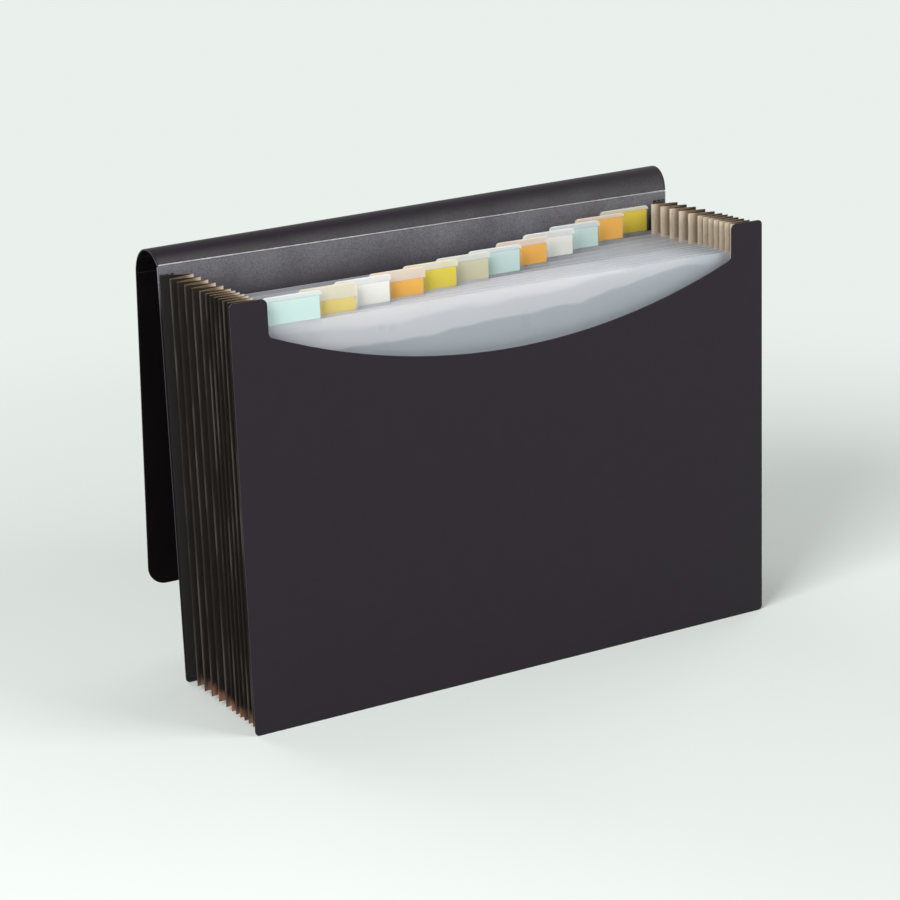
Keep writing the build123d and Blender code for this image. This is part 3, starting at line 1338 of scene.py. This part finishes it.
@dataclass
class DividerStack:
    """Frosted dividers, their tab sleeves and the cards in them."""

    sleeve_lap: float = 2.0 * MM
    tongue_inset: float = 1.0 * MM
    tongue_corner: float = 1.5 * MM
    corner_steps: int = 4
    cells: tuple[int, int] = (36, 24)
    swing: float = 2.2 * MM
    swing_size: float = 95 * MM
    hem: float = 30 * MM  # a sheet is quite free this far from where it is held
    milk: float = 0.75  # how white a sleeve stays over the colour of its card
    clear: float = 0.95
    cloudy: dict[int, float] = field(default_factory=lambda: {2: 0.78})  # sleeves that are less clear
    pieces: dict[int, Piece] = field(default_factory=dict)

    def __post_init__(self) -> None:
        """Count the dividers and read each card's colour slot."""
        self.count = sum(name.startswith("divider_") for name in frame["nodes"])
        parts = frame["record"]["subparts"]
        self.slots = {part["node"]: part["material_slot"] for part in parts}

    def build(self) -> None:
        """Model one plain sheet, copy it for every divider and give each its tongue."""
        first_low, first_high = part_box("divider_01")
        low = Vector((first_low.x, (first_low.y + first_high.y) / 2, first_low.z))
        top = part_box("tab_sleeve_01")[0].z + self.sleeve_lap
        plain = upright_plane("divider_sheet_01", low, Vector((first_high.x, low.y, top)), self.cells)
        self.pieces[1] = plain
        for divider in range(2, self.count + 1):
            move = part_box(f"divider_{divider:02d}")[0] - first_low
            self.pieces[divider] = copy_piece(plain, f"divider_sheet_{divider:02d}", move)
        for divider, piece in self.pieces.items():
            self._shape(piece, divider)

    def _shape(self, piece: Piece, divider: int) -> None:
        """Cut the tongue that carries a divider's tab, bow the sheet and thicken it.

        Args:
            piece: The plain sheet.
            divider: The divider's number, from the front.
        """
        low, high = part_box(f"divider_{divider:02d}")
        tab_low, tab_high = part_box(f"tab_sleeve_{divider:02d}")
        left, right = tab_low.x + self.tongue_inset, tab_high.x - self.tongue_inset
        top, middle_y = tab_low.z + self.sleeve_lap, (low.y + high.y) / 2
        corner_low, corner_high = Vector((low.x, middle_y, low.z)), Vector((high.x, middle_y, top))
        with edit_mode(piece):
            for side in (left, right):
                bpy.ops.mesh.select_all(action="SELECT")
                bpy.ops.mesh.bisect(plane_co=(side, 0, 0), plane_no=(1, 0, 0))
            pick(
                piece, Element.EDGE,
                lambda edge: all(
                    vert.co.z > top - NEAR and left - NEAR < vert.co.x < right + NEAR
                    for vert in edge.verts
                ),
            )
            bpy.ops.mesh.extrude_region_move(TRANSFORM_OT_translate={"value": (0, 0, high.z - top)})
            pick(
                piece, Element.VERT,
                lambda vert: vert.co.z > high.z - NEAR
                and min(abs(vert.co.x - left), abs(vert.co.x - right)) < NEAR,
            )
            bpy.ops.mesh.bevel(offset=self.tongue_corner, segments=self.corner_steps, affect="VERTICES")
        free = self._freedom(corner_low, corner_high, left, right)
        sway(piece, "Y", self.swing, self.swing_size, free)
        thicken(piece, high.y - low.y)
        smooth(piece)

    def _freedom(
        self, low: Vector, high: Vector, left: float, right: float
    ) -> Callable[[Vector], float]:
        """Give a test of how free a divider's film is: held at its welded edges and at its tab.

        Args:
            low: Lower left corner of the sheet.
            high: Upper right corner of the sheet, below its tongue.
            left: Left edge of the tongue.
            right: Right edge of the tongue.

        Returns:
            The test, for a point on the sheet.
        """

        def free(point: Vector) -> float:
            """Give how free a point is.

            Args:
                point: A point on the sheet.

            Returns:
                0 where the sheet is held, up to 1 from a hem's width away.
            """
            beside = max(left - point.x, point.x - right, 0)
            to_tab = hypot(beside, max(high.z - self.sleeve_lap - point.z, 0))
            to_weld = min(point.x - low.x, high.x - point.x, point.z - low.z)
            return max(0.0, min(to_tab, to_weld, self.hem) / self.hem)

        return free

    def dress(self) -> None:
        """Give dividers, sleeves and cards their finishes."""
        front, rear, edge = FRONT_DIVIDER_FILM.make(), REAR_DIVIDER_FILM.make(), DIVIDER_EDGE.make()
        cards = {slot.name: CardFinish(slot.name, slot.value).make() for slot in TabColour}
        # The front half of the dividers carry the painted light and shade.
        painted_dividers = self.count // 2
        for divider, piece in self.pieces.items():
            body = f"divider_{divider:02d}"
            film = front if divider <= painted_dividers else rear
            settle(piece, (film, film, edge), "divider_film", body)
            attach(piece, body)
            slot = self.slots[f"tab_card_{divider:02d}"]
            sleeve = self._sleeve_finish(divider, TabColour[slot]).make()
            for part, dressed in (("tab_card", cards[slot]), ("tab_sleeve", sleeve)):
                dress_with(frame["nodes"][f"{part}_{divider:02d}"], dressed)
                LOG.info("%s_%02d: dressed as %s", part, divider, dressed.name)

    def _sleeve_finish(self, divider: int, colour: TabColour) -> SleeveFinish:
        """Give the film of one sleeve, tinged by the card that it holds.

        Args:
            divider: The divider's number, from the front.
            colour: The colour of its card.

        Returns:
            The sleeve's finish.
        """
        pale = tuple(self.milk + (1 - self.milk) * channel for channel in colour.value)
        return SleeveFinish(
            f"sleeve_{divider:02d}", pale, pale, through=pale, through_share=0.4, clear=(1, 1, 1),
            clear_share=self.cloudy.get(divider, self.clear), rough=(0.12, 0.25), gloss=0.25,
            card_top=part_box(f"tab_card_{divider:02d}")[1].z,
        )


@dataclass
class Lamp:
    """One soft lamp."""

    name: str
    place: Vector
    size: float
    power: float


@dataclass
class Studio:
    """Pale floor, soft light and the camera at the photograph's angle."""

    azimuth: float = -29.748
    elevation: float = 16.399
    roll: float = -2.131
    distance: float = 1312.41 * MM
    target: Vector = Vector((-41.74 * MM, -91.55 * MM, 134.48 * MM))
    lens: float = 98.753
    sensor: float = 36.0
    floor_size: float = 14.0
    floor_colour: Colour = tint(234, 240, 236)
    floor_rough: float = 0.9
    floor_gloss: float = 0.1
    floor_near: float = 0.35  # from here to far the floor turns to the background's colour
    floor_far: float = 0.85
    ambient: float = 0.12
    background: float = 1.0
    lamps: tuple[Lamp, ...] = (
        Lamp("key", Vector((1.3, -1.5, 1.2)), size=1.2, power=24),
        Lamp("fill", Vector((-1.45, -0.8, 1.1)), size=1.0, power=35),
        Lamp("top", Vector((0.1, 0.3, 1.8)), size=1.0, power=2),
        Lamp("side", Vector((1.6, 0.6, 0.6)), size=1.0, power=8),
        Lamp("back", Vector((-0.5, 1.9, 0.8)), size=1.4, power=15),
    )

    def build(self) -> None:
        """Set the floor, the lamps, the surroundings and the camera."""
        self._floor()
        for lamp in self.lamps:
            self._lamp(lamp)
        self._surroundings()
        self._camera()
        bpy.context.scene.view_settings.view_transform = "Standard"

    def _floor(self) -> None:
        """Lay the floor where the file stands."""
        deselect()
        bpy.ops.mesh.primitive_plane_add(size=self.floor_size, location=(0, 0, CAD_LOW.z))
        floor = start_piece("floor")
        recipe = Recipe("floor")
        recipe.plain(
            Base_Color=(*self.floor_colour, 1), Roughness=self.floor_rough,
            Specular_IOR_Level=self.floor_gloss,
        )
        away = recipe.add("ShaderNodeVectorMath")
        away.operation = "LENGTH"
        recipe.join(recipe.place(), away.inputs[0])
        far = recipe.between(away.outputs["Value"], self.floor_near, self.floor_far)
        share = recipe.sum_up("MULTIPLY", far, seen_rays(recipe.tree))
        recipe.join(share, recipe.layer("ShaderNodeEmission", 0, self.floor_colour).inputs["Fac"])
        floor.data.materials.append(recipe.material)

    def _lamp(self, lamp: Lamp) -> None:
        """Hang one square lamp, turned to the middle of the file.

        Args:
            lamp: The lamp.
        """
        light = bpy.data.lights.new(lamp.name, "AREA")
        light.size, light.energy = lamp.size, lamp.power
        holder = bpy.data.objects.new(lamp.name, light)
        holder.location = lamp.place
        aim = (CAD_LOW + CAD_HIGH) / 2 - lamp.place
        holder.rotation_euler = aim.to_track_quat("-Z", "Y").to_euler()
        bpy.context.scene.collection.objects.link(holder)

    def _surroundings(self) -> None:
        """Light the room evenly and show it pale to the camera and in reflections."""
        world = bpy.data.worlds.new("studio")
        bpy.context.scene.world = world
        world.use_nodes = True
        tree = world.node_tree
        tree.nodes.clear()
        mix = tree.nodes.new("ShaderNodeMixShader")
        share, unseen, seen = mix.inputs
        tree.links.new(seen_rays(tree), share)
        for socket, strength in ((unseen, self.ambient), (seen, self.background)):
            glow = tree.nodes.new("ShaderNodeBackground")
            glow.inputs["Color"].default_value = (*self.floor_colour, 1)
            glow.inputs["Strength"].default_value = strength
            tree.links.new(glow.outputs[0], socket)
        output = tree.nodes.new("ShaderNodeOutputWorld")
        tree.links.new(mix.outputs[0], output.inputs["Surface"])

    def _camera(self) -> None:
        """Set the camera as the photograph was taken."""
        across, above, tilt = radians(self.azimuth), radians(self.elevation), radians(self.roll)
        back = Vector((sin(across) * cos(above), -cos(across) * cos(above), sin(above)))
        level = Vector((cos(across), sin(across), 0))
        upward = back.cross(level)
        right = cos(tilt) * level + sin(tilt) * upward
        up = cos(tilt) * upward - sin(tilt) * level
        lens = bpy.data.cameras.new("camera")
        lens.lens, lens.sensor_width = self.lens, self.sensor
        camera = bpy.data.objects.new("camera", lens)
        turn = Matrix((right, up, back)).transposed()
        camera.matrix_world = Matrix.Translation(self.target + back * self.distance) @ turn.to_4x4()
        bpy.context.scene.collection.objects.link(camera)
        bpy.context.scene.camera = camera


def main() -> None:
    """Build and dress the file, then set the studio."""
    logging.basicConfig(level=logging.INFO, format="%(message)s")
    for assembly in (Covers(), RolledSpine(), Gusset(), DividerStack()):
        assembly.build()
        assembly.dress()
    Studio().build()


if __name__ == "__main__":
    main()
